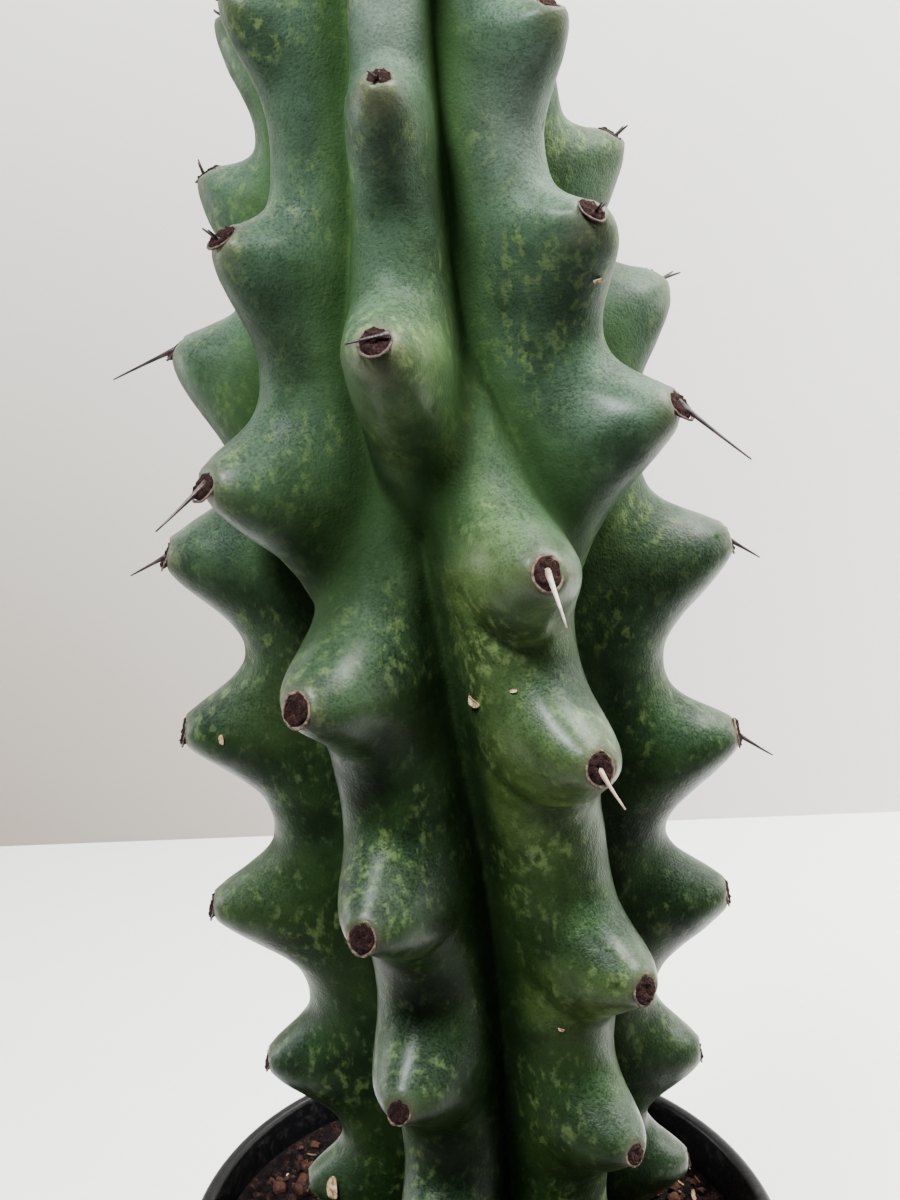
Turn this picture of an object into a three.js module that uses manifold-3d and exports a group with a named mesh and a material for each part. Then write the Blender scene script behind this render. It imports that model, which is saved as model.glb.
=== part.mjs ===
// A knobbly columnar cactus in a round nursery pot, standing in gritty soil.
// Millimetres, +Z up, front is -Y, origin at the middle of the pot's underside.
import * as THREE from 'three';
import { mergeVertices } from 'three/addons/utils/BufferGeometryUtils.js';
import Module from 'manifold-3d';

const wasm = await Module();
wasm.setup();

// Pot: a 12 cm nursery pot
const POT_HEIGHT = 105;
const RIM_RADIUS = 60;
const LIP_DROP = 9;
const LIP_INNER = 56.6;
const WALL_TOP = 57.6;
const WALL_FOOT = 43.5;
const WALL_THICK = 1.5;
const FLOOR_THICK = 2.2;
const LEDGE_DEPTH = 13;
const FOOT_RECESS = 1.2;
const FOOT_RING = 35;
const FOOT_PAD = 12;
const POT_SIDES = 44;
const DRAIN_HOLES = 6;
const DRAIN_RADIUS = 3.6;
const DRAIN_CIRCLE = 24;

// Soil: fills the pot to a little below the rim
const SOIL_DROP = 9;
const SOIL_GAP = 0.4;
const WALL_GAP = 0.6;
const ROOT_GAP = 1.3;
const SOIL_SHOULDER = 8;
const SOIL_EDGE = 0.6;
const SOIL_RINGS = 8;
const SOIL_HEAP = 1.4;
const CRUMB_HEIGHT = 0.9;

// Coarse grit: chips from one size to another, over a share of the way from wall to stem
const GRIT = { chips: 36, radius: [0.9, 1.7], share: [0.18, 0.78] };
const GRIT_SHAPE = { width: [0.7, 1.2], thick: 0.8, proud: 0.1 };

// Stem: heights are above the pot's rim
const APEX = 284;
const CROWN = 246;
const CROWN_ROUNDING = 2.2;
const FOOT = -45;
const ROOT = { radius: 21, from: -11, over: 24 };
const SADDLE_SHARE = 0.73;
const LEAN = { start: 3, perHeight: -0.077 };

// Rings of the skin: the buried ones, an even step above the soil, and closer ones over the crown
const BURIED_ROWS = [-38, -29, -21, -15];
const ROW_STEP = 4.6;
const CROWN_ROWS_FROM = 260;
const CROWN_ROWS = 7;

// Girth of the stem over the tips of its knobs: height, radius
const GIRTH = [
  [-45, 27], [-9, 33.5], [42, 42.3], [84, 47.5], [126, 49.3],
  [168, 44.5], [204, 35.2], [234, 31.2], [252, 29.5],
];

// The girth at which ribs and knobs have their full size, and the limits of their size
const FULL_GIRTH = 41.5;
const LEAST_RIB = 0.2;
const LEAST_KNOB = 0.3;
const LARGEST = 1.08;

// Rib section: a rounded slab that widens a little towards a round core
const RIB = { half: 9, flank: 0.18, core: 14, coreShare: 0.9, blend: 26 };

// How steeply a rib rises from its start and dies into its end, and how thin it gets there
const RIB_ENDS = { start: 0.6, end: 0.45, thinnest: 0.4 };

// How a rib's section fades on the far side of the stem
const RIB_FADE = { from: -0.3, over: 0.5, least: 0.02 };

// Knob shape, and how much shorter above and longer below a young one is
const KNOB = { height: 7.8, width: 8.4, inset: 3, power: 1.1, youngAbove: -0.2, youngBelow: 0.55 };
const YOUNG = { from: 138, over: 83 };

// How far knobs lean up for each millimetre that they stand out:
// most towards the top, and on the right side of the stem's middle
const LIFT = { most: 0.42, from: 111, over: 101 };
const RIGHT_LIFT = { most: 0.28, from: 20, over: 90, until: 205, fade: 60 };
const LIFT_BASE = 0.9;

// Ribs: knobs are height, bearing from the front, reach, spine length.
// start and end are the height and bearing where a rib that is not full height begins or dies out.
const RIBS = [
  { end: [147, -6], half: 7.5,
    knobs: [[272, -6, 0.7, 0], [252, -6, 0.8, 0], [222, -7, 0.9, 2.5], [186, -10, 1, 5]] },
  { end: [126, -40],
    knobs: [[278, -64, 0.6, 0], [260, -64, 0.8, 0], [234, -61, 0.85, 0], [198.6, -53, 1, 2.5],
      [162, -51, 1, 9.5]] },
  { end: [130, 40],
    knobs: [[277, 50, 0.6, 0], [258, 48, 0.8, 0], [231.6, 45, 1, 0], [203, 46, 1, 2.5],
      [173.4, 58, 1, 13]] },
  { start: [172, -27],
    knobs: [[130.8, -29, 1, 0], [93, -21, 1, 0], [58.8, -19, 1, 0], [25, -20, 1, 0]] },
  { start: [187, 5],
    knobs: [[153, 19, 1, 9], [121.8, 26, 1, 7], [79.2, 36, 1, 0], [44.4, 36, 1, 0], [12, 36, 1, 0]] },
  { knobs: [[274, 100, 0.6, 0], [250, 104, 0.7, 2], [212, 106, 1, 2.5], [188, 107, 1, 3.5],
    [145, 90, 1, 6], [110, 86, 1, 7], [78, 86, 1, 0], [43.8, 86, 0.87, 0], [17.4, 88, 1, 0]] },
  { knobs: [[272, -104, 0.7, 0], [253, -102, 0.8, 0], [231, -102, 0.85, 2], [206, -98, 1, 2.5],
    [177, -96, 1, 12], [143, -86, 1, 6.5], [111, -84, 1, 0], [76.2, -84, 1.15, 0],
    [42.6, -84, 1, 0], [14.4, -84, 1, 0]] },
  { knobs: [[273, 152, 0.7, 0], [253, 150, 0.8, 0], [231, 148, 1, 2], [205, 146, 1, 4],
    [172, 145, 1, 10], [137, 144, 1, 8], [102, 143, 1, 5], [69, 143, 1, 0], [37, 143, 1, 0],
    [10, 143, 0.9, 0]] },
  { knobs: [[274, -156, 0.7, 0], [250, -153, 0.8, 0], [225, -151, 1, 2], [196, -150, 1, 5],
    [162, -149, 1, 11], [127, -148, 1, 7], [93, -148, 1, 4], [60, -148, 1, 0], [29, -148, 1, 0]] },
];

// Lines that the skin's columns follow from soil to crown: height, bearing.
// They run along the ribs and, past a rib's end, along the groove that it dies into.
const GUIDES = [
  [[15, -84], [143, -86], [180, -96], [231, -100], [272, -104]],
  [[100, -52], [140, -48], [162, -51], [199, -55], [234, -61], [278, -64]],
  [[25, -20], [59, -19], [93, -21], [131, -29], [172, -28], [230, -34]],
  [[90, 8], [150, -5], [186, -10], [222, -7], [272, -6]],
  [[79, 36], [122, 26], [153, 19], [187, 5], [222, 20], [272, 22]],
  [[79, 61], [140, 50], [173, 58], [203, 50], [277, 50]],
  [[110, 86], [150, 89], [188, 98], [250, 99]],
  [[110, 114], [188, 122], [250, 124]],
  [[102, 143], [205, 146], [273, 152]],
  [[102, 177], [205, 178], [273, 178]],
  [[127, 212], [225, 209], [274, 204]],
  [[110, 244], [188, 236], [260, 230]],
];
const COLUMN_SHARES = [0, 0.2, 0.5, 0.8];

// How much a knob's tip pulls the grid's corners beside it: columns away, share of the way
const CORNER_PULLS = [[0, 1], [1, 0.7], [-1, 0.7], [2, 0.3], [-2, 0.3]];

// Areoles: felt pads, which sit higher on young knobs and face further up there
const AREOLE = { radius: 2.2, top: 1.5, thick: 2.2, proud: 0.7, sides: 5, least: 0.55 };
const AREOLE_RISE = { above: 0.4, youngAbove: 2.2 };
const AREOLE_TILT = { low: 14, more: 44, from: 110, over: 100 };

// Spines: long ones hang, short ones point up
const SPINE = { radius: 0.55, tip: 0.08, root: 1.6, sides: 3, long: 4 };
const LONG_SLOPE = [-38, -24];
const SHORT_SLOPE = [20, 60];

const radians = THREE.MathUtils.degToRad;
const clamp = THREE.MathUtils.clamp;
const smooth = (x) => THREE.MathUtils.smoothstep(x, 0, 1);
const between = ([low, high], share) => low + (high - low) * share;

// The same draws every time, from 0 to 1
function draws(seed) {
  let state = seed;
  return () => {
    state = (state * 16807) % 2147483647;
    return state / 2147483647;
  };
}

// A smooth curve through [at, value] points in rising order, level at both ends
function curveThrough(points, at) {
  const last = points.length - 1;
  const x = clamp(at, points[0][0], points[last][0]);
  let k = 0;
  while (k < last - 1 && x > points[k + 1][0]) k += 1;
  const slope = (i) => {
    const before = points[Math.max(i - 1, 0)];
    const after = points[Math.min(i + 1, last)];
    const share = i === 0 || i === last ? 0.5 : 1;
    return (share * (after[1] - before[1])) / (after[0] - before[0]);
  };
  const span = points[k + 1][0] - points[k][0];
  const t = (x - points[k][0]) / span;
  const rise = (3 - 2 * t) * t * t;
  return (1 - rise) * points[k][1] + rise * points[k + 1][1]
    + (t * (1 - t) * (1 - t) * slope(k) - t * t * (1 - t) * slope(k + 1)) * span;
}

// Radius over the knob tips at a height, closing in a rounded crown
function girth(height) {
  const t = clamp((height - CROWN) / (APEX - CROWN), 0, 1);
  return curveThrough(GIRTH, height) * Math.sqrt(Math.max(1 - t ** CROWN_ROUNDING, 0));
}

// How far the skin leans up for each millimetre that it stands out
function lift(height, bearing) {
  const right = Math.max(Math.sin(bearing), 0) ** 2
    * smooth((height - RIGHT_LIFT.from) / RIGHT_LIFT.over)
    * smooth((RIGHT_LIFT.until - height) / RIGHT_LIFT.fade);
  return LIFT.most * smooth((height - LIFT.from) / LIFT.over) + RIGHT_LIFT.most * right;
}

// 0 on the old growth low on the stem, 1 on the young growth at the top
const youth = (height) => smooth((height - YOUNG.from) / YOUNG.over);

// How far above its knob's middle an areole sits
const areoleRise = (height) => AREOLE_RISE.above + AREOLE_RISE.youngAbove * youth(height);

// Height on the unlifted surface of the knob whose areole comes to a height
function seat(height, bearing) {
  let seated = height;
  for (let pass = 0; pass < 4; pass += 1) {
    const leaning = lift(seated, bearing) * girth(seated) * (1 - LIFT_BASE * SADDLE_SHARE);
    seated = height - leaning - areoleRise(seated);
  }
  return seated;
}

// Each rib's path, and its knobs with their places on the unlifted surface
const ribs = RIBS.map(({ start, end, half = RIB.half, knobs }) => {
  const path = knobs.map(([height, bearing]) => [height, bearing]);
  if (start) path.push(start);
  if (end) path.push(end);
  path.sort((a, b) => a[0] - b[0]);
  const seated = knobs.map(([height, bearing, reach, spine]) => {
    const z = seat(height, radians(bearing));
    const tip = girth(z);
    return {
      z, height, bearing, spine,
      size: clamp(tip / FULL_GIRTH, LEAST_KNOB, LARGEST),
      young: youth(z),
      stand: tip * (1 - SADDLE_SHARE) * reach,
      across: tip * SADDLE_SHARE + KNOB.inset,
    };
  });
  const heights = seated.map((knob) => knob.z);
  const first = Math.max(...heights);
  const last = Math.min(...heights);
  return { start, end, half, path, knobs: seated, first, last };
});

// How fully a rib stands out at a height, from 0 beyond its end to 1
function presence(rib, height) {
  let full = 1;
  if (rib.start) {
    const below = (rib.start[0] - height) / (rib.start[0] - rib.first);
    full *= clamp(below, 0, 1) ** RIB_ENDS.start;
  }
  if (rib.end) {
    const above = (height - rib.end[0]) / (rib.last - rib.end[0]);
    full *= clamp(above, 0, 1) ** RIB_ENDS.end;
  }
  return full;
}

// Distance from the axis to one rib's section, at a turn away from the rib's middle
function ribReach(ridge, half, turn) {
  const facing = Math.cos(turn);
  const aside = Math.abs(Math.sin(turn));
  const middle = Math.max(ridge - half, 0.1);
  if (middle * aside > half * facing) {
    return (half + RIB.flank * middle) / Math.max(aside + RIB.flank * facing, 0.1);
  }
  return middle * facing + Math.sqrt(Math.max(half ** 2 - (middle * aside) ** 2, 0));
}

// How far a knob raises the skin at a height and at a turn away from its rib's middle
function knobRaise(knob, height, turn) {
  const above = height - knob.z;
  const stretch = 1 + (above > 0 ? KNOB.youngAbove : KNOB.youngBelow) * knob.young;
  const up = above / (KNOB.height * knob.size * stretch);
  const side = (knob.across * Math.sin(turn)) / (KNOB.width * knob.size);
  return knob.stand * Math.exp(-((up * up + side * side) ** KNOB.power));
}

// Distance from the stem's axis to the skin
function skinRadius(bearing, height) {
  const tip = girth(height);
  const size = clamp(tip / FULL_GIRTH, LEAST_RIB, LARGEST);
  const core = RIB.core * size;
  let blended = 0;
  let raised = 0;
  for (const rib of ribs) {
    const full = presence(rib, height);
    const ridge = core + (tip * SADDLE_SHARE - core) * full;
    const half = rib.half * size * between([RIB_ENDS.thinnest, 1], full);
    const turn = bearing - radians(curveThrough(rib.path, height));
    const facing = Math.cos(turn);
    const fade = clamp((facing - RIB_FADE.from) / RIB_FADE.over, RIB_FADE.least, 1);
    blended += Math.max(ribReach(ridge, half, turn) * fade, core * RIB.coreShare) ** RIB.blend;
    if (facing > 0) {
      for (const knob of rib.knobs) raised += knobRaise(knob, height, turn);
    }
  }
  const skin = blended ** (1 / RIB.blend) + raised;
  const buried = smooth((ROOT.from - height) / ROOT.over);
  return skin + (ROOT.radius - skin) * buried;
}

// How far to the side the stem's axis is at a height
const axisAt = (height) => LEAN.start + LEAN.perHeight * height;

// A point of the skin in the part's frame, pushed out by clear millimetres
function skinPoint(bearing, height, clear = 0) {
  const radius = skinRadius(bearing, height) + clear;
  const saddle = girth(height) * SADDLE_SHARE * LIFT_BASE;
  const raised = lift(height, bearing) * Math.max(radius - saddle, 0);
  return new THREE.Vector3(
    axisAt(height) + radius * Math.sin(bearing),
    -radius * Math.cos(bearing),
    POT_HEIGHT + height + raised,
  );
}

// A closed skin through rings of equal count, from a bottom point to a top point
function ringSkin(bottom, rings, top) {
  const count = rings[0].length;
  const places = [bottom, ...rings.flat(), top];
  const at = (row, column) => 1 + row * count + (column % count);
  const faces = [];
  for (let column = 0; column < count; column += 1) {
    faces.push(0, at(0, column + 1), at(0, column));
    for (let row = 0; row < rings.length - 1; row += 1) {
      faces.push(at(row, column), at(row, column + 1), at(row + 1, column + 1));
      faces.push(at(row, column), at(row + 1, column + 1), at(row + 1, column));
    }
    const last = rings.length - 1;
    faces.push(at(last, column), at(last, column + 1), places.length - 1);
  }
  const geometry = new THREE.BufferGeometry().setFromPoints(places);
  geometry.setIndex(faces);
  return geometry;
}

// A closed geometry as a solid that can be joined and cut
function solid(geometry) {
  const bare = geometry.clone();
  bare.deleteAttribute('normal');
  bare.deleteAttribute('uv');
  const merged = mergeVertices(bare, 1e-4);
  return new wasm.Manifold(new wasm.Mesh({
    numProp: 3,
    vertProperties: new Float32Array(merged.attributes.position.array),
    triVerts: new Uint32Array(merged.index.array),
  }));
}

// A solid back as a geometry
function surface(body) {
  const mesh = body.getMesh();
  const geometry = new THREE.BufferGeometry();
  const places = new Float32Array(mesh.vertProperties);
  const corners = new Uint32Array(mesh.triVerts);
  geometry.setAttribute('position', new THREE.BufferAttribute(places, 3));
  geometry.setIndex(new THREE.BufferAttribute(corners, 1));
  geometry.computeVertexNormals();
  return geometry;
}

// A geometry turned so that its +Y points along a direction, with its middle at a place
function aimed(geometry, along, place) {
  const turn = new THREE.Quaternion().setFromUnitVectors(new THREE.Vector3(0, 1, 0), along);
  geometry.applyQuaternion(turn);
  geometry.translate(place.x, place.y, place.z);
  return geometry;
}

// A solid with every piece joined to it
function joinAll(body, pieces) {
  return pieces.reduce((joined, piece) => joined.add(solid(piece)), body);
}

// Heights of the stem's rings from its foot to just under its apex
function stemHeights() {
  const heights = [FOOT, ...BURIED_ROWS, -SOIL_DROP];
  const rows = Math.round((CROWN_ROWS_FROM + SOIL_DROP) / ROW_STEP);
  for (let row = 1; row <= rows; row += 1) {
    heights.push(between([-SOIL_DROP, CROWN_ROWS_FROM], row / rows));
  }
  for (let row = 1; row <= CROWN_ROWS; row += 1) {
    const quarter = (row / (CROWN_ROWS + 0.6)) * (Math.PI / 2);
    heights.push(between([CROWN_ROWS_FROM, APEX], Math.sin(quarter)));
  }
  return heights;
}

// Bearings of the skin's columns at a height, closer together beside each guide line
function columnsAt(height) {
  const lines = GUIDES.map((points) => curveThrough(points, height));
  return lines.flatMap((line, i) => {
    const next = i + 1 < lines.length ? lines[i + 1] : lines[0] + 360;
    return COLUMN_SHARES.map((share) => radians(between([line, next], share)));
  });
}

// The ribbed skin, with the nearest corner of its grid set on each knob's tip
function stemSkin() {
  const heights = stemHeights();
  const grid = heights.map((height) => columnsAt(height).map((bearing) => ({ bearing, height })));
  const nearest = (list, value) => list.reduce((best, at, i) => (
    Math.abs(at - value) < Math.abs(list[best] - value) ? i : best), 0);
  for (const knob of ribs.flatMap((rib) => rib.knobs)) {
    const row = nearest(heights, knob.z);
    if (row > heights.length - 3) continue;
    const away = grid[row].map(({ bearing }) => Math.cos(bearing - radians(knob.bearing)));
    const column = nearest(away, 1);
    const count = away.length;
    for (const [side, share] of CORNER_PULLS) {
      const corner = grid[row][(column + side + count) % count];
      corner.height += (knob.z - heights[row]) * share;
    }
    const turn = radians(knob.bearing) - grid[row][column].bearing;
    grid[row][column].bearing += Math.atan2(Math.sin(turn), Math.cos(turn));
  }
  const rings = grid.map((ring) => ring.map(({ bearing, height }) => skinPoint(bearing, height)));
  const bottom = new THREE.Vector3(axisAt(FOOT), 0, POT_HEIGHT + FOOT);
  const crownRing = rings[rings.length - 1];
  const middle = new THREE.Vector3();
  for (const place of crownRing) middle.addScaledVector(place, 1 / crownRing.length);
  return ringSkin(bottom, rings, middle.setZ(middle.z + 0.3));
}

// The direction at a bearing from the front that slopes up by some degrees
function direction(bearing, slope) {
  const flat = Math.cos(radians(slope));
  return new THREE.Vector3(
    Math.sin(bearing) * flat,
    -Math.cos(bearing) * flat,
    Math.sin(radians(slope)),
  );
}

// Where an areole sits: on the outer face of its knob, higher up on young growth
function areolePlace(knob) {
  const bearing = radians(knob.bearing);
  const place = skinPoint(bearing, knob.z + areoleRise(knob.z));
  const higher = smooth((knob.height - AREOLE_TILT.from) / AREOLE_TILT.over);
  return { place, outward: direction(bearing, AREOLE_TILT.low + AREOLE_TILT.more * higher) };
}

// Felt pads, and the short stout spines that stand in some of them
function areolesAndSpines() {
  const draw = draws(4021);
  const pieces = [];
  for (const knob of ribs.flatMap((rib) => rib.knobs)) {
    const { place, outward } = areolePlace(knob);
    const size = clamp(knob.size, AREOLE.least, 1);
    const { top, radius, thick, sides } = AREOLE;
    const pad = new THREE.CylinderGeometry(top * size, radius * size, thick, sides);
    const sunk = AREOLE.proud - thick / 2;
    pieces.push(aimed(pad, outward, place.clone().addScaledVector(outward, sunk)));
    if (knob.spine === 0) continue;
    const slope = between(knob.spine > SPINE.long ? LONG_SLOPE : SHORT_SLOPE, draw());
    const along = direction(radians(knob.bearing), slope);
    const length = knob.spine + SPINE.root;
    const needle = new THREE.CylinderGeometry(SPINE.tip, SPINE.radius, length, SPINE.sides);
    const middle = place.clone().addScaledVector(along, length / 2 - SPINE.root);
    pieces.push(aimed(needle, along, middle));
  }
  return pieces;
}

// Stem: skin, areoles and spines as one grown piece
function makeStem() {
  return surface(joinAll(solid(stemSkin()), areolesAndSpines()));
}

// Inside radius of the pot's wall at a height
function wallInside(z) {
  const share = clamp((z - FLOOR_THICK) / (POT_HEIGHT - LEDGE_DEPTH - FLOOR_THICK), 0, 1);
  return between([WALL_FOOT, WALL_TOP], share) - WALL_THICK;
}

// Height of the heaped soil over its edges, from the wall (0) to the stem (1)
const heap = (share) => SOIL_HEAP * Math.sin(share * Math.PI) ** 2;

// Soil as one solid round the stem's foot: underside, wall, crumbly top and the hole
function makeSoil() {
  const draw = draws(977);
  const level = POT_HEIGHT - SOIL_DROP;
  const columns = columnsAt(-SOIL_DROP);
  const ring = (radius, z) => columns.map((bearing) => (
    new THREE.Vector3(radius * Math.sin(bearing), -radius * Math.cos(bearing), z)));
  const floor = FLOOR_THICK + SOIL_GAP;
  const shoulder = level - SOIL_SHOULDER;
  const rimRadius = wallInside(shoulder) - WALL_GAP;
  const rings = [
    ring(wallInside(floor) - WALL_GAP, floor),
    ring(rimRadius, shoulder),
    ring(rimRadius, level - SOIL_EDGE),
  ];
  const edge = columns.map((bearing) => skinPoint(bearing, -SOIL_DROP, SOIL_GAP).setZ(level));
  for (let step = 1; step < SOIL_RINGS; step += 1) {
    const share = step / SOIL_RINGS;
    const rough = CRUMB_HEIGHT * (step === 1 ? 0.5 : 1);
    rings.push(ring(rimRadius, level).map((rim, i) => {
      const spot = rim.clone().lerp(edge[i], share);
      return spot.setZ(level + heap(share) + rough * (draw() - 0.5));
    }));
  }
  rings.push(edge);
  for (const height of [...BURIED_ROWS].reverse().concat(FOOT)) {
    rings.push(columns.map((bearing) => skinPoint(bearing, height, ROOT_GAP)));
  }
  const holeFloor = POT_HEIGHT + FOOT - SOIL_GAP;
  for (const place of rings[rings.length - 1]) place.setZ(holeFloor);
  const hole = new THREE.Vector3(axisAt(FOOT), 0, holeFloor);
  const body = solid(ringSkin(new THREE.Vector3(0, 0, floor), rings, hole));
  return surface(joinAll(body, gritChips(draw, level)));
}

// Coarse grit lying in the top of the soil, clear of the stem and the wall
function gritChips(draw, level) {
  const chips = [];
  const wall = wallInside(level - SOIL_SHOULDER);
  while (chips.length < GRIT.chips) {
    const bearing = draw() * 2 * Math.PI;
    const share = between(GRIT.share, draw());
    const stem = skinPoint(bearing, -SOIL_DROP).setZ(0);
    const rim = new THREE.Vector3(wall * Math.sin(bearing), -wall * Math.cos(bearing), 0);
    const chip = new THREE.IcosahedronGeometry(between(GRIT.radius, draw()), 0);
    chip.scale(1, between(GRIT_SHAPE.width, draw()), GRIT_SHAPE.thick);
    chip.rotateZ(draw() * Math.PI);
    chip.rotateX(draw() * Math.PI);
    const spot = rim.lerp(stem, share);
    chip.translate(spot.x, spot.y, level + heap(share) + GRIT_SHAPE.proud);
    chips.push(chip);
  }
  return chips;
}

// Thin-walled pot: foot ring and pad, tapered wall, rolled lip and inner ledge
function makePot() {
  const top = POT_HEIGHT;
  const under = top - LIP_DROP;
  const profile = [
    [0, 0], [FOOT_PAD, 0], [FOOT_PAD + 1, FOOT_RECESS], [FOOT_RING - 1, FOOT_RECESS], [FOOT_RING, 0],
    [WALL_FOOT - 2.5, 0], [WALL_FOOT - 0.6, 0.8], [WALL_FOOT, 2.8],
    [WALL_TOP - 0.6, under - 1.2], [RIM_RADIUS - 1.4, under], [RIM_RADIUS - 0.7, under + 0.4],
    [RIM_RADIUS, top - 2.2], [RIM_RADIUS - 0.5, top - 0.8], [RIM_RADIUS - 1.6, top],
    [LIP_INNER + 0.9, top], [LIP_INNER, top - 1], [LIP_INNER - 0.1, top - 5.4],
    [wallInside(top), top - 6.4], [wallInside(top), top - LEDGE_DEPTH],
    [wallInside(FLOOR_THICK), FLOOR_THICK], [0, FLOOR_THICK],
  ];
  const shell = new THREE.LatheGeometry(profile.map(([r, z]) => new THREE.Vector2(r, z)), POT_SIDES);
  shell.rotateX(Math.PI / 2);
  let body = solid(shell);
  for (let hole = 0; hole < DRAIN_HOLES; hole += 1) {
    const bearing = (hole / DRAIN_HOLES) * 2 * Math.PI;
    const drill = new THREE.CylinderGeometry(DRAIN_RADIUS, DRAIN_RADIUS, 3 * FLOOR_THICK, 14);
    drill.rotateX(Math.PI / 2);
    drill.translate(DRAIN_CIRCLE * Math.cos(bearing), DRAIN_CIRCLE * Math.sin(bearing), FLOOR_THICK / 2);
    body = body.subtract(solid(drill));
  }
  return surface(body);
}

// One named piece with a plain colour
function named(name, geometry, color, roughness) {
  const finish = new THREE.MeshStandardMaterial({ color, roughness, metalness: 0 });
  const mesh = new THREE.Mesh(geometry, finish);
  mesh.name = name;
  return mesh;
}

const plant = new THREE.Group();
plant.add(named('pot', makePot(), 0x141517, 0.42));
plant.add(named('soil', makeSoil(), 0x2e211b, 0.95));
plant.add(named('stem', makeStem(), 0x3d5f38, 0.45));

export default plant;
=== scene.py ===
import math
import random

import bpy
import numpy as np
from mathutils import Matrix, Vector, noise


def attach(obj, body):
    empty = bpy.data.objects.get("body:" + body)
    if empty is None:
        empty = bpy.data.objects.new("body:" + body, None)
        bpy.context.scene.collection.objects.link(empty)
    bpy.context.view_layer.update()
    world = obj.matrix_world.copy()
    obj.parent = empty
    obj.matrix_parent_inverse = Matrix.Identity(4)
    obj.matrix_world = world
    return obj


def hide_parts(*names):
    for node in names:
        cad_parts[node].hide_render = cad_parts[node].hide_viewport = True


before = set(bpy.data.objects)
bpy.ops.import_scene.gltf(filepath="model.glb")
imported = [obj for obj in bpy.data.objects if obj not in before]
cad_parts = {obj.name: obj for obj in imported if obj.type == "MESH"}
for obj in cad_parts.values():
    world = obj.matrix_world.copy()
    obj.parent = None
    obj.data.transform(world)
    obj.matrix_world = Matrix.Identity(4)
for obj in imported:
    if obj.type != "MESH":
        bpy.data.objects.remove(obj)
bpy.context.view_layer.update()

# Pot: one thin-walled nursery pot, injection moulded in satin black polypropylene.
# It has a tapered wall, a rolled lip with a ledge inside, and a foot ring with six drain holes.
MM = 0.001
POT_HEIGHT = 105 * MM
RIM_RADIUS = 60 * MM
LIP_DROP = 9 * MM
LIP_INNER = 56.6 * MM
WALL_TOP = 57.6 * MM
WALL_FOOT = 43.5 * MM
WALL_THICK = 1.5 * MM
FLOOR_THICK = 2.2 * MM
LEDGE_DEPTH = 13 * MM
FOOT_RECESS = 1.2 * MM
FOOT_RING = 35 * MM
FOOT_PAD = 12 * MM
DRAIN_HOLES = 6
DRAIN_RADIUS = 3.6 * MM
DRAIN_CIRCLE = 24 * MM
LIP_ROUND_OUT, LIP_ROUND_DOWN = 2.3 * MM, 2.2 * MM
POT_SIDES = 144
DRILL_SIDES = 32


class Socket:
    """A shader value that adds its own nodes as it is used in an expression."""

    def __init__(self, tree, socket):
        self.tree, self.socket = tree, socket

    def out(self, kind, settings=None, output=0, **inputs):
        """An output of a new node: its settings first, then values or links for its sockets."""
        made = self.tree.nodes.new(kind)
        for name, value in (settings or {}).items():
            setattr(made, name, value)
        for name, value in inputs.items():
            slot = made.inputs[int(name[1:])] if name[1:].isdigit() else made.inputs[name]
            if isinstance(value, Socket):
                self.tree.links.new(value.socket, slot)
            else:
                slot.default_value = value
        return Socket(self.tree, made.outputs[output])

    def maths(self, operation, first, second):
        return self.out("ShaderNodeMath", {"operation": operation}, i0=first, i1=second)

    def __add__(self, other):
        return self.maths("ADD", self, other)

    def __sub__(self, other):
        return self.maths("SUBTRACT", self, other)

    def __rsub__(self, other):
        return self.maths("SUBTRACT", other, self)

    def __mul__(self, other):
        return self.maths("MULTIPLY", self, other)

    __radd__ = __add__
    __rmul__ = __mul__

    def ramp(self, low, high):
        """0 below low, 1 above high, smooth between."""
        return self.out("ShaderNodeMapRange", {"interpolation_type": "SMOOTHSTEP"},
                        i0=self, i1=low, i2=high, i3=0.0, i4=1.0)

    def tint(self, first, second):
        """A colour that goes from first to second as this value goes from 0 to 1."""
        return self.out("ShaderNodeMix", {"data_type": "RGBA", "clamp_factor": True},
                        output=2, i0=self, i6=first, i7=second)

    def grain(self, scale, detail=2.0, rough=0.5):
        """Noise on this vector, with patches of about 1 / scale metres."""
        return self.out("ShaderNodeTexNoise", Vector=self, Scale=scale, Detail=detail, Roughness=rough)

    def cells(self, scale):
        """Distance to the middle of random cells on this vector."""
        return self.out("ShaderNodeTexVoronoi", Vector=self, Scale=scale)

    def stretched(self, x, y, z):
        return self.out("ShaderNodeMapping", Vector=self, Scale=(x, y, z))

    def part(self, axis):
        """One of this vector's three numbers."""
        return self.out("ShaderNodeSeparateXYZ", output=axis, i0=self)


def finish_of(name, roughness):
    """A new material, its shader, and the piece's own Object coordinates."""
    material = bpy.data.materials.new(name)
    material.use_nodes = True
    tree = material.node_tree
    shader = tree.nodes["Principled BSDF"]
    shader.inputs["Roughness"].default_value = roughness
    return material, shader, Socket(tree, tree.nodes.new("ShaderNodeTexCoord").outputs["Object"])


def feed(shader, name, value):
    """Links a value to one of the shader's inputs."""
    value.tree.links.new(value.socket, shader.inputs[name])


def relief(shader, height, depth):
    """A bump of the given depth in metres on the shader's normal."""
    feed(shader, "Normal", height.out("ShaderNodeBump", Height=height, Distance=depth))


def colour(red, green, blue):
    """A linear colour from the 0 to 255 values that a screen shows."""
    shown = (c / 255 for c in (red, green, blue))
    return (*(((c + 0.055) / 1.055) ** 2.4 if c > 0.04 else c / 12.92 for c in shown), 1)


def fresh(add_primitive, **settings):
    """A new primitive, selected alone."""
    bpy.ops.object.select_all(action="DESELECT")
    add_primitive(**settings)
    return bpy.context.object


def pick(piece):
    """Makes a piece the only selected and the active one."""
    bpy.ops.object.select_all(action="DESELECT")
    piece.select_set(True)
    bpy.context.view_layer.objects.active = piece


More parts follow.
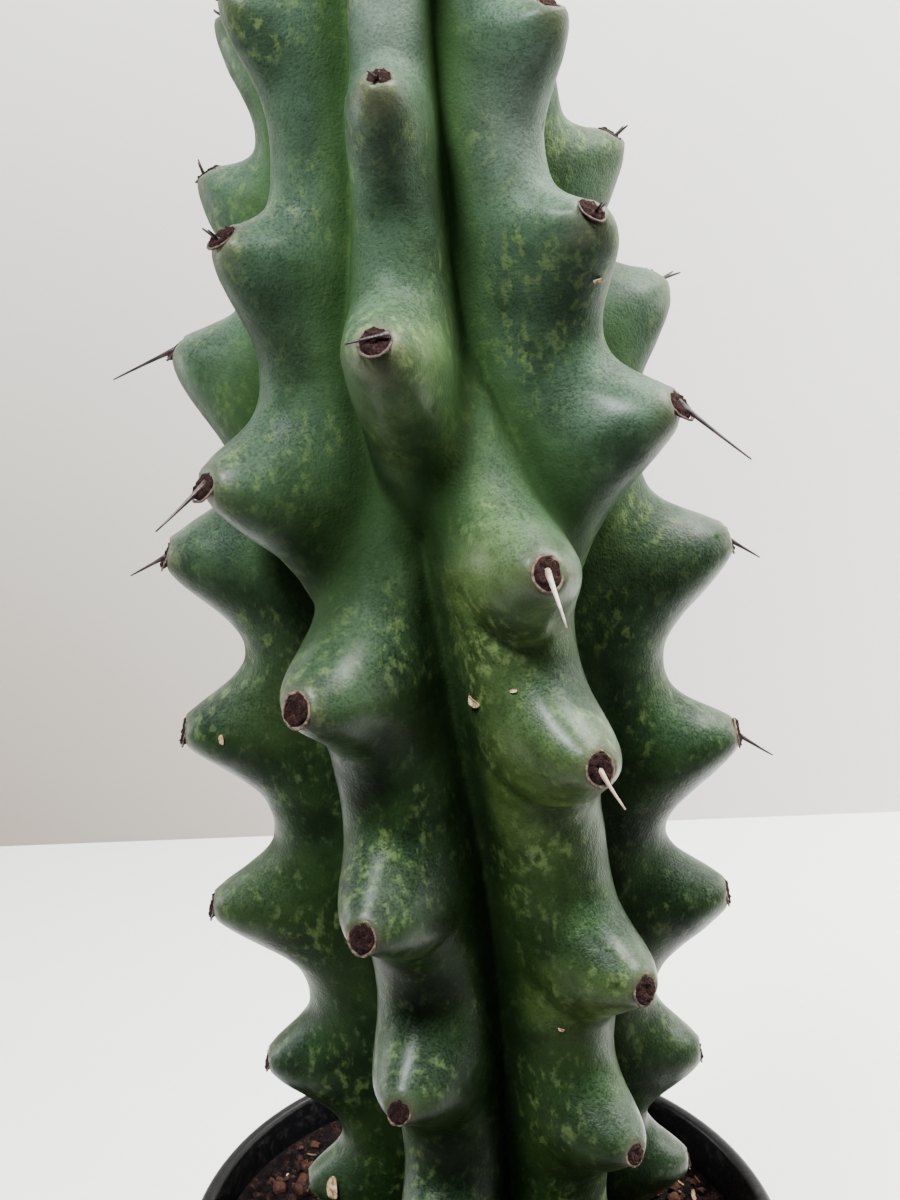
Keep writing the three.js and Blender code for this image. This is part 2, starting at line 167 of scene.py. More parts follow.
def joined(pieces):
    """Several pieces as one mesh."""
    pick(pieces[0])
    for piece in pieces:
        piece.select_set(True)
    bpy.ops.object.join()
    return bpy.context.object


def copies(pattern, places):
    """One piece made of copies of a pattern, each with its own mesh moved to its place."""
    made = []
    for place in places:
        copy = pattern.copy()
        copy.data = pattern.data.copy()
        bpy.context.collection.objects.link(copy)
        copy.data.transform(place)
        made.append(copy)
    bpy.data.objects.remove(pattern)
    return joined(made)


def settle(piece, name, material, node=None):
    """Names a finished piece, gives it its finish and rides it on the part."""
    piece.name = piece.data.name = name
    piece.data.materials.clear()
    piece.data.materials.append(material)
    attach(piece, "root")
    if node:
        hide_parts(node)


def wall_inside(z):
    """Radius of the wall's inner face at a height."""
    share = min(max((z - FLOOR_THICK) / (POT_HEIGHT - LEDGE_DEPTH - FLOOR_THICK), 0), 1)
    return WALL_FOOT + (WALL_TOP - WALL_FOOT) * share - WALL_THICK


def drawn_up(profile, sides):
    """A closed round shell: a circle extruded and resized from ring to ring, capped at both ends."""
    radius, height = profile[0]
    shell = fresh(bpy.ops.mesh.primitive_circle_add, vertices=sides, radius=radius, location=(0, 0, height))
    bpy.ops.object.transform_apply(location=True, rotation=True, scale=True)
    bpy.ops.object.mode_set(mode="EDIT")
    for next_radius, next_height in profile[1:]:
        bpy.ops.mesh.extrude_region_move(TRANSFORM_OT_translate={"value": (0, 0, next_height - height)})
        bpy.ops.transform.resize(value=(next_radius / radius, next_radius / radius, 1),
                                 center_override=(0, 0, next_height))
        radius, height = next_radius, next_height
    bpy.ops.mesh.edge_face_add()
    bpy.ops.mesh.select_all(action="SELECT")
    bpy.ops.mesh.region_to_loop()
    bpy.ops.mesh.edge_face_add()
    bpy.ops.mesh.select_all(action="SELECT")
    bpy.ops.mesh.normals_make_consistent(inside=False)
    bpy.ops.object.mode_set(mode="OBJECT")
    return shell


under_lip = POT_HEIGHT - LIP_DROP
lip_roll = [(RIM_RADIUS + (math.cos(turn) - 1) * LIP_ROUND_OUT,
             POT_HEIGHT + (math.sin(turn) - 1) * LIP_ROUND_DOWN) for turn in np.radians([0, 22, 45, 68, 90])]
pot = drawn_up([
    (FOOT_PAD, 0), (FOOT_PAD + 1 * MM, FOOT_RECESS), (FOOT_RING - 1 * MM, FOOT_RECESS), (FOOT_RING, 0),
    (WALL_FOOT - 2.5 * MM, 0), (WALL_FOOT - 1.2 * MM, 0.25 * MM), (WALL_FOOT - 0.4 * MM, 1.2 * MM),
    (WALL_FOOT, 2.8 * MM), (WALL_TOP - 0.6 * MM, under_lip - 1.2 * MM),
    (WALL_TOP - 0.2 * MM, under_lip - 0.5 * MM), (RIM_RADIUS - 1.2 * MM, under_lip - 0.1 * MM),
    (RIM_RADIUS - 0.5 * MM, under_lip + 0.4 * MM), (RIM_RADIUS - 0.15 * MM, under_lip + 1.2 * MM), *lip_roll,
    (LIP_INNER + 1.1 * MM, POT_HEIGHT), (LIP_INNER + 0.4 * MM, POT_HEIGHT - 0.3 * MM),
    (LIP_INNER, POT_HEIGHT - 1 * MM), (LIP_INNER - 0.1 * MM, POT_HEIGHT - 5.2 * MM),
    (LIP_INNER - 0.3 * MM, POT_HEIGHT - 5.7 * MM),
    (wall_inside(POT_HEIGHT) + 0.2 * MM, POT_HEIGHT - 6.2 * MM),
    (wall_inside(POT_HEIGHT), POT_HEIGHT - 6.8 * MM), (wall_inside(POT_HEIGHT), POT_HEIGHT - LEDGE_DEPTH),
    (wall_inside(FLOOR_THICK), FLOOR_THICK),
], POT_SIDES)

bore = fresh(bpy.ops.mesh.primitive_cylinder_add, vertices=DRILL_SIDES, radius=DRAIN_RADIUS,
             depth=4 * FLOOR_THICK)
drill = copies(bore, [
    Matrix.Rotation(hole / DRAIN_HOLES * math.tau, 4, "Z") @ Matrix.Translation((DRAIN_CIRCLE, 0, 0))
    for hole in range(DRAIN_HOLES)])
pick(pot)
cut = pot.modifiers.new("drain", "BOOLEAN")
cut.operation, cut.object, cut.solver = "DIFFERENCE", drill, "EXACT"
bpy.ops.object.modifier_apply(modifier=cut.name)
bpy.data.objects.remove(drill)
pick(pot)
bpy.ops.object.shade_smooth_by_angle(angle=math.radians(40))

black, shader, place = finish_of("satin_black_plastic", 0.3)
scuff = place.stretched(1, 1, 3).grain(90, 6, 0.65).ramp(0.52, 0.8)
dust = place.grain(420, 4, 0.7).ramp(0.5, 0.75) * place.part(2).ramp(0.088, 0.104)
base = (scuff * 0.5).tint(colour(9, 10, 12), colour(22, 23, 25))
feed(shader, "Base Color", (dust * 0.2).tint(base, colour(84, 76, 70)))
feed(shader, "Roughness", scuff * 0.18 + dust * 0.25 + 0.33)
relief(shader, place.grain(1500) + place.stretched(1, 1, 0.2).grain(260, 3) * 0.8, 0.06 * MM)
shader.inputs["Specular IOR Level"].default_value = 0.14
settle(pot, "black_nursery_pot", black, "pot")

# Stem: one fleshy column that grew as one piece, with nine ribs in all that rise, part and die out.
# Each rib swells into blunt nipple-like knobs, and the thin waxy skin is mottled and creased.
# Its numbers are in millimetres, with heights above the pot's rim.
APEX = 284
CROWN = 246
CROWN_ROUNDING = 2.2
FOOT = -45
ROOT_RADIUS, ROOT_FROM, ROOT_OVER = 21, -11, 24
SOIL_DROP = 9
SADDLE_SHARE = 0.73
LEAN_START, LEAN_PER_HEIGHT = 3, -0.077

# Radius over the tips of the knobs, at heights from the foot to the crown.
GIRTH = [(-45, 27), (-9, 33.5), (42, 42.3), (84, 47.5), (126, 49.3), (168, 44.5), (204, 35.2), (234, 31.2),
         (252, 29.5)]

# The girth at which ribs and knobs have their full size, and the limits of their size.
FULL_GIRTH = 41.5
LEAST_RIB, LEAST_KNOB, LARGEST = 0.2, 0.3, 1.08

# A rib is a rounded slab that widens a little towards a round core. It thins towards its start
# and its end, and fades on the far side of the stem.
RIB_HALF, RIB_FLANK, RIB_CORE, CORE_SHARE, RIB_BLEND = 9, 0.18, 14, 0.9, 26
START_POWER, END_POWER, RIB_THINNEST = 0.6, 0.45, 0.4
FADE_FROM, FADE_OVER, FADE_LEAST = -0.3, 0.5, 0.02

# A young knob is shorter above its middle and longer below, and its areole sits higher on it.
KNOB_HEIGHT, KNOB_WIDTH, KNOB_INSET, KNOB_POWER = 7.8, 8.4, 3, 1.1
YOUNG_ABOVE, YOUNG_BELOW = -0.2, 0.55
YOUNG_FROM, YOUNG_OVER = 138, 83
AREOLE_RISE, AREOLE_YOUNG_RISE = 0.4, 2.2

# Knobs lean up for each millimetre that they stand out: most near the top, and on the right.
LIFT_MOST, LIFT_FROM, LIFT_OVER, LIFT_BASE = 0.42, 111, 101, 0.9
RIGHT_MOST, RIGHT_FROM, RIGHT_OVER, RIGHT_UNTIL, RIGHT_FADE = 0.28, 20, 90, 205, 60

# A groove lies where the second rib reaches more than this share of the first.
GROOVE_FROM = 0.52

# Each rib: the height above the rim and the bearing from the front where it starts or ends,
# and its knobs from the top down as height, bearing, reach and spine length.
RIBS = [
    dict(end=(147, -6), half=7.5,
         knobs=[(272, -6, 0.7, 0), (252, -6, 0.8, 0), (222, -7, 0.9, 2.5), (186, -10, 1, 5)]),
    dict(end=(126, -40),
         knobs=[(278, -64, 0.6, 0), (260, -64, 0.8, 0), (234, -61, 0.85, 0), (198.6, -53, 1, 2.5),
                (162, -51, 1, 9.5)]),
    dict(end=(130, 40),
         knobs=[(277, 50, 0.6, 0), (258, 48, 0.8, 0), (231.6, 45, 1, 0), (203, 46, 1, 2.5),
                (173.4, 58, 1, 13)]),
    dict(start=(172, -27),
         knobs=[(130.8, -29, 1, 0), (93, -21, 1, 0), (58.8, -19, 1, 0), (25, -20, 1, 0)]),
    dict(start=(187, 5),
         knobs=[(153, 19, 1, 9), (121.8, 26, 1, 7), (79.2, 36, 1, 0), (44.4, 36, 1, 0), (12, 36, 1, 0)]),
    dict(knobs=[(274, 100, 0.6, 0), (250, 104, 0.7, 2), (212, 106, 1, 2.5), (188, 107, 1, 3.5),
                (145, 90, 1, 6), (110, 86, 1, 7), (78, 86, 1, 0), (43.8, 86, 0.87, 0), (17.4, 88, 1, 0)]),
    dict(knobs=[(272, -104, 0.7, 0), (253, -102, 0.8, 0), (231, -102, 0.85, 2), (206, -98, 1, 2.5),
                (177, -96, 1, 12), (143, -86, 1, 6.5), (111, -84, 1, 0), (76.2, -84, 1.15, 0),
                (42.6, -84, 1, 0), (14.4, -84, 1, 0)]),
    dict(knobs=[(273, 152, 0.7, 0), (253, 150, 0.8, 0), (231, 148, 1, 2), (205, 146, 1, 4),
                (172, 145, 1, 10), (137, 144, 1, 8), (102, 143, 1, 5), (69, 143, 1, 0), (37, 143, 1, 0),
                (10, 143, 0.9, 0)]),
    dict(knobs=[(274, -156, 0.7, 0), (250, -153, 0.8, 0), (225, -151, 1, 2), (196, -150, 1, 5),
                (162, -149, 1, 11), (127, -148, 1, 7), (93, -148, 1, 4), (60, -148, 1, 0), (29, -148, 1, 0)]),
]

# Creases where a heavy knob folds the skin under itself: the knob's height and bearing, how far
# the crease runs beside and below it, the angles that it runs between, with 270 straight down,
# and how deep it is. The skin bellies out between the knob and its crease.
CREASES = [
    (153, 19, 10.5, 12.5, 185, 300, 1.25),
    (121.8, 26, 12.5, 10.5, 210, 302, 0.8),
    (79.2, 36, 12.5, 9, 180, 262, 0.45),
    (93, -21, 12, 9, 276, 352, 0.5),
    (130.8, -29, 11, 12, 262, 330, 0.3),
    (162, -51, 9, 9, 225, 275, 0.3),
    (186, -10, 10, 15, 200, 300, 0.25),
    (44.4, 36, 11, 9, 190, 270, 0.35),
]
CREASE_WIDTH, CREASE_FADE = 0.95, 22
BELLY_SHARE, BELLY_INSIDE, BELLY_WIDTH = 0.75, 2.6, 2

# Patches that are painted lighter and yellower, partly as yellowed skin and partly as painted light on a
# lit belly and on shadowed rib ends; dark brown patches of painted shade under two knobs; and painted
# highlights, pale like a waxy bloom, on the saddles above two others: the bearing and height of each,
# and half its reach in each.
SUNNED_AND_LIT = [(6, 148, 12, 20), (20, 141, 9, 6), (16, 112, 13, 13), (2, 176, 11, 12), (-8, 164, 9, 16),
          (26, 72, 12, 8)]
BROWN_SHADE = [(-26, 80, 7, 7), (-7, 214, 6, 8)]
SADDLE_HIGHLIGHTS = [(-6, 229, 11, 7), (42, 213, 12, 7)]


def smooth(x):
    """0 below 0, 1 above 1, smooth between."""
    x = np.clip(x, 0, 1)
    return x * x * (3 - 2 * x)


def curve_through(points, at):
    """A smooth curve through (at, value) points in rising order, level at both ends."""
    xs, ys = np.array(points, float).T
    last = len(xs) - 1
    slope = np.array([(ys[min(i + 1, last)] - ys[max(i - 1, 0)]) / (xs[min(i + 1, last)] - xs[max(i - 1, 0)])
                      for i in range(last + 1)])
    slope[[0, last]] *= 0.5
    x = np.clip(at, xs[0], xs[last])
    k = np.clip(np.searchsorted(xs, x) - 1, 0, last - 1)
    span = xs[k + 1] - xs[k]
    t = (x - xs[k]) / span
    rise = (3 - 2 * t) * t * t
    bend = (t * (1 - t) * (1 - t) * slope[k] - t * t * (1 - t) * slope[k + 1]) * span
    return (1 - rise) * ys[k] + rise * ys[k + 1] + bend


def girth(height):
    """Radius over the knobs' tips, closing in a rounded crown."""
    t = np.clip((height - CROWN) / (APEX - CROWN), 0, 1)
    return curve_through(GIRTH, height) * np.sqrt(np.clip(1 - t ** CROWN_ROUNDING, 0, 1))


def lift(height, bearing):
    """How far the skin leans up for each millimetre that it stands out."""
    right = (np.maximum(np.sin(bearing), 0) ** 2 * smooth((height - RIGHT_FROM) / RIGHT_OVER)
             * smooth((RIGHT_UNTIL - height) / RIGHT_FADE))
    return LIFT_MOST * smooth((height - LIFT_FROM) / LIFT_OVER) + RIGHT_MOST * right


def youth(height):
    """0 on the old growth low on the stem, 1 on the young growth at the top."""
    return smooth((height - YOUNG_FROM) / YOUNG_OVER)


def areole_rise(height):
    """How far above its knob's middle an areole sits."""
    return AREOLE_RISE + AREOLE_YOUNG_RISE * youth(height)


def seat(height, bearing):
    """Height on the unlifted skin of the knob whose areole comes to this height."""
    seated = height
    for _ in range(4):
        leaning = lift(seated, math.radians(bearing)) * girth(seated) * (1 - LIFT_BASE * SADDLE_SHARE)
        seated = float(height - leaning - areole_rise(seated))
    return seated


# Each rib's path, and the seats and reaches of its knobs.
for rib in RIBS:
    ends = [rib[key] for key in ("start", "end") if key in rib]
    rib["path"] = sorted([knob[:2] for knob in rib["knobs"]] + ends)
    rib["seated"] = [(seat(height, bearing), reach) for height, bearing, reach, _ in rib["knobs"]]


def presence(rib, height):
    """How fully a rib stands out, from 0 beyond its end to 1."""
    seats = [seated for seated, _ in rib["seated"]]
    full = np.ones_like(height)
    if "start" in rib:
        start = rib["start"][0]
        full = full * np.clip((start - height) / (start - max(seats)), 0, 1) ** START_POWER
    if "end" in rib:
        end = rib["end"][0]
        full = full * np.clip((height - end) / (min(seats) - end), 0, 1) ** END_POWER
    return full


def skin_radius(bearing, height):
    """Distance from the axis to the skin, how near a knob's tip, and how deep in a groove."""
    tip = girth(height)
    size = np.clip(tip / FULL_GIRTH, LEAST_RIB, LARGEST)
    core = RIB_CORE * size
    blended, raised, near, best, second = 0, 0, 0, 0, 0
    for rib in RIBS:
        full = presence(rib, height)
        ridge = core + (tip * SADDLE_SHARE - core) * full
        half = rib.get("half", RIB_HALF) * size * (RIB_THINNEST + (1 - RIB_THINNEST) * full)
        turn = bearing - np.radians(curve_through(rib["path"], height))
        facing, aside = np.cos(turn), np.abs(np.sin(turn))
        middle = np.maximum(ridge - half, 0.1)
        cap = middle * facing + np.sqrt(np.maximum(half ** 2 - (middle * aside) ** 2, 0))
        wall = (half + RIB_FLANK * middle) / np.maximum(aside + RIB_FLANK * facing, 0.1)
        reach = np.where(middle * aside > half * facing, wall, cap)
        fade = np.clip((facing - FADE_FROM) / FADE_OVER, FADE_LEAST, 1)
        reach = np.maximum(reach * fade, core * CORE_SHARE)
        second = np.maximum(second, np.minimum(best, reach))
        best = np.maximum(best, reach)
        blended = blended + reach ** RIB_BLEND
        for seated, stand in rib["seated"]:
            knob_tip = float(girth(seated))
            knob_size = min(max(knob_tip / FULL_GIRTH, LEAST_KNOB), LARGEST)
            young = float(youth(seated))
            above = height - seated
            stretch = 1 + np.where(above > 0, YOUNG_ABOVE, YOUNG_BELOW) * young
            up = above / (KNOB_HEIGHT * knob_size * stretch)
            side = (knob_tip * SADDLE_SHARE + KNOB_INSET) * np.sin(turn) / (KNOB_WIDTH * knob_size)
            bump = np.where(facing > 0, np.exp(-(up * up + side * side) ** KNOB_POWER), 0)
            raised = raised + knob_tip * (1 - SADDLE_SHARE) * stand * bump
            near = np.maximum(near, bump)
    skin = blended ** (1 / RIB_BLEND) + raised
    buried = smooth((ROOT_FROM - height) / ROOT_OVER)
    groove = smooth((second / best - GROOVE_FROM) / (1 - GROOVE_FROM))
    return skin + (ROOT_RADIUS - skin) * buried, near, groove


def skin_points(bearing, height, clear=0.0):
    """Places on the skin in metres, pushed out by clear millimetres, with its two masks."""
    radius, near, groove = skin_radius(bearing, height)
    radius = radius + clear
    raised = lift(height, bearing) * np.maximum(radius - girth(height) * SADDLE_SHARE * LIFT_BASE, 0)
    axis = LEAN_START + LEAN_PER_HEIGHT * height
    places = np.stack([axis + radius * np.sin(bearing), -radius * np.cos(bearing), height + raised], -1) * MM
    places[..., 2] += POT_HEIGHT
    return places, near, groove


def folds(bearing, height):
    """How far the creases under the knobs pull the skin in, and their bellies push it out."""
    moved = np.zeros_like(height)
    for knob_height, knob_bearing, half_width, below, first, last, depth in CREASES:
        seated = seat(knob_height, knob_bearing)
        turn = bearing - math.radians(knob_bearing)
        side = (float(girth(seated)) * SADDLE_SHARE + KNOB_INSET) * np.sin(turn) / half_width
        up = (height - seated) / below
        ring = np.hypot(side, up)
        angle = np.degrees(np.arctan2(up, side)) % 360
        window = smooth((angle - first) / CREASE_FADE) * smooth((last - angle) / CREASE_FADE)
        away = (ring - 1) * 0.5 * (half_width + below)
        belly = BELLY_SHARE * np.exp(-((away + BELLY_INSIDE) / BELLY_WIDTH) ** 2)
        moved += window * (np.cos(turn) > 0) * depth * (belly - np.exp(-(away / CREASE_WIDTH) ** 2))
    return moved


# Areoles face further up on young knobs, and have shrunk on the oldest ones.
LOW_TILT, MORE_TILT, TILT_FROM, TILT_OVER = 14, 44, 110, 100
LEAST_AREOLE, OLD_SHRINK, OLD_UNTIL, OLD_OVER = 0.55, 0.2, 95, 60


def areole_seats():
    """Each areole's place, outward direction, size, and its knob's spine length and bearing."""
    seats = []
    for rib in RIBS:
        for height, bearing, _, spine in rib["knobs"]:
            seated = seat(height, bearing)
            turn = math.radians(bearing)
            spot = skin_points(np.array([turn]), np.array([seated + areole_rise(seated)]))[0][0]
            rise = math.radians(LOW_TILT + MORE_TILT * float(smooth((height - TILT_FROM) / TILT_OVER)))
            out = Vector((math.sin(turn) * math.cos(rise), -math.cos(turn) * math.cos(rise), math.sin(rise)))
            shrunk = 1 - OLD_SHRINK * float(smooth((OLD_UNTIL - height) / OLD_OVER))
            size = min(max(float(girth(seated)) / FULL_GIRTH, LEAST_AREOLE), 1) * shrunk
            seats.append((Vector(spot), out, size, spine, turn))
    return seats


# The skin starts as a flat grid, which is wrapped round the stem with its seam at the back.
# Its columns are closer together at the front, and its rows at the top of the crown.
SKIN_COLUMNS, SKIN_ROWS = 284, 344
FRONT_CLOSER = 0.35
BURIED_ROWS, CROWN_ROWS, STILL_ROWS = 0.03, 0.93, 0.985
BURIED_TO, CROWN_ROWS_FROM = -SOIL_DROP - 4, 262
SWELL_DEPTH = 0.2
MERGE_WITHIN = 0.02 * MM
LOOKUP_STEP = 0.01 * MM
stem = fresh(bpy.ops.mesh.primitive_grid_add, x_subdivisions=SKIN_COLUMNS, y_subdivisions=SKIN_ROWS, size=2)
flat = np.array([v.co[:] for v in stem.data.vertices])
turn_of = (flat[:, 0] - FRONT_CLOSER * np.sin(flat[:, 0] * math.pi) / math.pi) * math.pi
share_up = (flat[:, 1] + 1) / 2
height_of = np.interp(share_up, [0, BURIED_ROWS, CROWN_ROWS], [FOOT, BURIED_TO, CROWN_ROWS_FROM])
over_crown = np.sin((np.clip(share_up, CROWN_ROWS, 1) - CROWN_ROWS) / (1 - CROWN_ROWS) * math.pi / 2)
height_of += (APEX - CROWN_ROWS_FROM) * over_crown
places, near_knob, in_groove = skin_points(turn_of, height_of)
swell = np.array([noise.noise(Vector(p) * 140) + 0.5 * noise.noise(Vector(p) * 330) for p in places])
middle = np.stack([(LEAN_START + LEAN_PER_HEIGHT * height_of) * MM, np.zeros_like(height_of)], -1)
outward = places[:, :2] - middle
outward /= np.maximum(np.linalg.norm(outward, axis=1, keepdims=True), 1e-6)
moved = (swell * SWELL_DEPTH + folds(turn_of, height_of)) * (share_up < STILL_ROWS)
places[:, :2] += outward * (moved * MM)[:, None]


def patches(spots):
    """A mask that is 1 in the middle of each patch and fades out past its reach."""
    mask = np.zeros(len(places))
    for bearing, height, half_turn, half_height in spots:
        across = (np.degrees(turn_of) - bearing) / half_turn
        along = (height_of - height) / half_height
        mask = np.maximum(mask, np.exp(-across ** 2 - along ** 2))
    return mask


# Each areole lies in a shallow dish with a low raised edge, and the skin is greyish round it.
DISH_DEPTH, DISH_RADIUS = 0.75, 2.2
EDGE_HEIGHT, EDGE_RADIUS, EDGE_WIDTH = 0.35, 2.9, 0.9
GREYISH_RADIUS, GREYISH_WIDTH = 2.4, 1.3
DISH_REACH = 6 * MM
round_areole = np.zeros(len(places))
for spot, out, size, *_ in areole_seats():
    away = places - np.array(spot)
    along = away @ np.array(out)
    ring = np.sqrt(np.maximum((away ** 2).sum(1) - along ** 2, 0)) / (MM * size)
    close = np.abs(along) < DISH_REACH
    edge = EDGE_HEIGHT * np.exp(-((ring - EDGE_RADIUS) / EDGE_WIDTH) ** 2)
    dish = edge - DISH_DEPTH * np.exp(-(ring / DISH_RADIUS) ** 4)
    places += np.array(out) * (np.where(close, dish, 0) * size * MM)[:, None]
    greyish = np.exp(-((ring - GREYISH_RADIUS) / GREYISH_WIDTH) ** 2)
    round_areole = np.maximum(round_areole, np.where(close, greyish, 0))


def mark(name, values):
    """Gives each of the stem's vertices a number that its finish reads."""
    mask = stem.data.attributes.new(name, "FLOAT", "POINT")
    mask.data.foreach_set("value", values.astype(np.float32))


def rounded(spot):
    """A place in whole steps, so that it can be looked up."""
    return tuple(np.round(spot / LOOKUP_STEP).astype(int))


stem.data.vertices.foreach_set("co", places.ravel())
stem.data.update()
bpy.ops.object.mode_set(mode="EDIT")
bpy.ops.mesh.select_all(action="SELECT")
bpy.ops.mesh.remove_doubles(threshold=MERGE_WITHIN)
bpy.ops.mesh.fill_holes(sides=0)
bpy.ops.mesh.normals_make_consistent(inside=False)
bpy.ops.object.mode_set(mode="OBJECT")
bpy.ops.object.shade_smooth()

# Merging renumbers the vertices, so each one's marks are looked up by its rounded place. A few
# places round differently after the merge: those vertices take the marks of the first vertex.
order = {rounded(spot): i for i, spot in enumerate(places)}
source = np.array([order.get(rounded(np.array(v.co[:])), 0) for v in stem.data.vertices])
marks = {"near_knob": near_knob, "in_groove": in_groove, "round_areole": round_areole,
         "sunned_and_lit": patches(SUNNED_AND_LIT), "brown_shade": patches(BROWN_SHADE), "saddle_highlight": patches(SADDLE_HIGHLIGHTS)}
for name, values in marks.items():
    mark(name, values[source])
mark("faces_up", np.array([v.normal.z for v in stem.data.vertices]))

skin, shader, place = finish_of("mottled_cactus_skin", 0.42)
knob, groove, edge, sunned_and_lit, brown_shade, saddle_highlight, up = (
    place.out("ShaderNodeAttribute", {"attribute_name": name}, output=2) for name in (*marks, "faces_up"))
young = place.part(2).ramp(0.2, 0.33)
old = 1 - place.part(2).ramp(0.10, 0.24)
cloud = place.grain(34, 3, 0.5)
mottle = place.grain(120, 4, 0.6)
fleck = place.stretched(1, 1, 0.7).grain(560, 3, 0.6)
stipple = place.grain(2100, 2, 0.6)

# The green is mottled in two depths, clouded, and dull on the old growth. In patches it is painted
# lighter and yellower, partly as yellowed skin and partly as painted light.
deep = young.tint(colour(13, 28, 9), colour(47, 66, 47))
leaf = young.tint(colour(33, 55, 22), colour(72, 95, 74))
base = (mottle.ramp(0.34, 0.66) * 0.75).tint(deep, leaf)
base = (cloud.ramp(0.46, 0.68) * 0.3).tint(base, young.tint(colour(56, 73, 36), colour(72, 92, 52)))
# Painted light: the sunned patches also light a belly under a knob and the shadowed ends of ribs.
yellowed_and_lit = sunned_and_lit * (1 - groove.ramp(0.2, 0.75))
base = (yellowed_and_lit * 0.65).tint(base, mottle.ramp(0.3, 0.7).tint(colour(58, 78, 34), colour(96, 117, 60)))
base = (old * 0.3).tint(base, colour(14, 30, 11))
# Painted shade: dark brown patches under two knobs.
base = (brown_shade * mottle.ramp(0.2, 0.6) * 0.5).tint(base, colour(40, 36, 26))

# Pale flecks come in clusters, with fine dark stipples between.
cluster = place.grain(64, 2, 0.5).ramp(0.46, 0.62)
spotted = cluster * fleck.ramp(0.48, 0.68) * (1 - young * 0.1 - old * 0.4)
# The flecks are painted paler in the yellowed and lit patches, partly as painted light.
flecked = yellowed_and_lit.tint(young.tint(colour(92, 113, 58), colour(118, 138, 78)), colour(134, 152, 94))
base = (spotted * 0.5).tint(base, flecked)
base = (fleck.ramp(0.54, 0.76) * 0.28).tint(base, colour(92, 112, 70))
base = (stipple.ramp(0.5, 0.3) * 0.35).tint(base, colour(10, 22, 11))

# The grooves are a clear green on the young growth, and painted shade makes them nearly black low
# down. What faces up has a pale waxy bloom with painted sheen, and painted shade darkens young
# undersides.
base = (groove.ramp(0.0, 0.4) * young * 0.55).tint(base, colour(60, 88, 46))
# Painted shade: the grooves darken to nearly black, least on young growth.
groove_shade = young.tint(colour(8, 20, 3), colour(38, 66, 22))
base = (groove.ramp(0.1, 0.95) * (1 - young * 0.3) * 0.8).tint(base, groove_shade)
# Pale waxy bloom with painted sheen on what faces up.
bloom_and_sheen = up.ramp(0.0, 0.7) * stipple.ramp(0.35, 0.62) * (1 - groove)
base = (bloom_and_sheen * (young * 0.06 + 0.08)).tint(base, colour(112, 138, 128))
# Painted highlight: pale patches on the saddles above two knobs, like a waxy bloom.
base = (saddle_highlight * (1 - groove) * (stipple * 0.5 + mottle * 0.4)).tint(base, colour(160, 178, 162))
# Painted shade: young skin that faces down is darker.
base = (up.ramp(-0.1, -0.5) * young * 0.35).tint(base, colour(24, 40, 24))

# Young knobs have dull olive tips, and the skin round each areole is greyish.
base = (knob.ramp(0.75, 0.97) * young * 0.35).tint(base, colour(76, 72, 48))
base = (edge * 0.4).tint(base, colour(96, 94, 76))
feed(shader, "Base Color", base)
feed(shader, "Roughness", young * 0.14 + place.grain(260, 3).ramp(0.3, 0.7) * 0.12 + groove * 0.4 + 0.28)
feed(shader, "Coat Weight", knob.ramp(0.15, 0.6) * (1 - young * 0.5) * mottle.ramp(0.2, 0.7) * 0.45)
relief(shader, mottle * 0.6 + stipple * 0.45 + fleck * 0.3, 0.28 * MM)
shader.inputs["Coat Roughness"].default_value = 0.32
shader.inputs["Specular IOR Level"].default_value = 0.09
shader.inputs["Subsurface Weight"].default_value = 0.05
shader.inputs["Subsurface Radius"].default_value = (0.5, 1.0, 0.25)
shader.inputs["Subsurface Scale"].default_value = 0.003
settle(stem, "ribbed_cactus_stem", skin, "stem")

# Areoles: an oval pad of short brown felt sunk in the outer face of each knob.
# The felt grows there and dries to a dark crust, inside a thin corky rim.
AREOLE_RADIUS = 2.2
PAD_OVAL, PAD_FLAT, PAD_SINK = 1.18, 0.42, 0.5 * MM
RIM_OVAL, RIM_THICK, RIM_SINK, RIM_BELOW = 1.2, 0.22 * MM, 0.48 * MM, 0.12 * MM
areole_rng = random.Random(4021)


def set_against(spot, out, size, spin):
    """The move that sets a piece whose +Z is outward on a knob."""
    facing = out.to_track_quat("Z", "Y").to_matrix().to_4x4() @ Matrix.Rotation(spin, 4, "Z")
    return Matrix.Translation(spot) @ facing @ Matrix.Diagonal((size, size, size, 1))


def below(out):
    """The way down along the skin of a knob that faces out."""
    return (out * out.z - Vector((0, 0, 1))).normalized()


def upright():
    """A turn that keeps an oval piece nearly upright, either end up."""
    return areole_rng.choice((0, math.pi)) + areole_rng.uniform(-0.3, 0.3)


pad = fresh(bpy.ops.mesh.primitive_uv_sphere_add, segments=26, ring_count=16, radius=AREOLE_RADIUS * MM)
for vertex in pad.data.vertices:
    v = vertex.co
    lump = noise.noise(v * 1300) * 0.45 + noise.noise(v * 3100) * 0.3
    ring = math.hypot(v.x, v.y) / (AREOLE_RADIUS * MM)
    dish = 0.75 * math.exp(-(ring / 0.55) ** 2)
    v.x *= 0.95 + 0.12 * noise.noise(v * 500)
    v.y *= PAD_OVAL
    v.z = v.z * PAD_FLAT + (lump - dish) * MM * (1 if v.z > 0 else 0.2)
felt_pads = copies(pad, [set_against(spot - out * PAD_SINK, out, size, upright())
                         for spot, out, size, *_ in areole_seats()])
bpy.ops.object.shade_smooth()

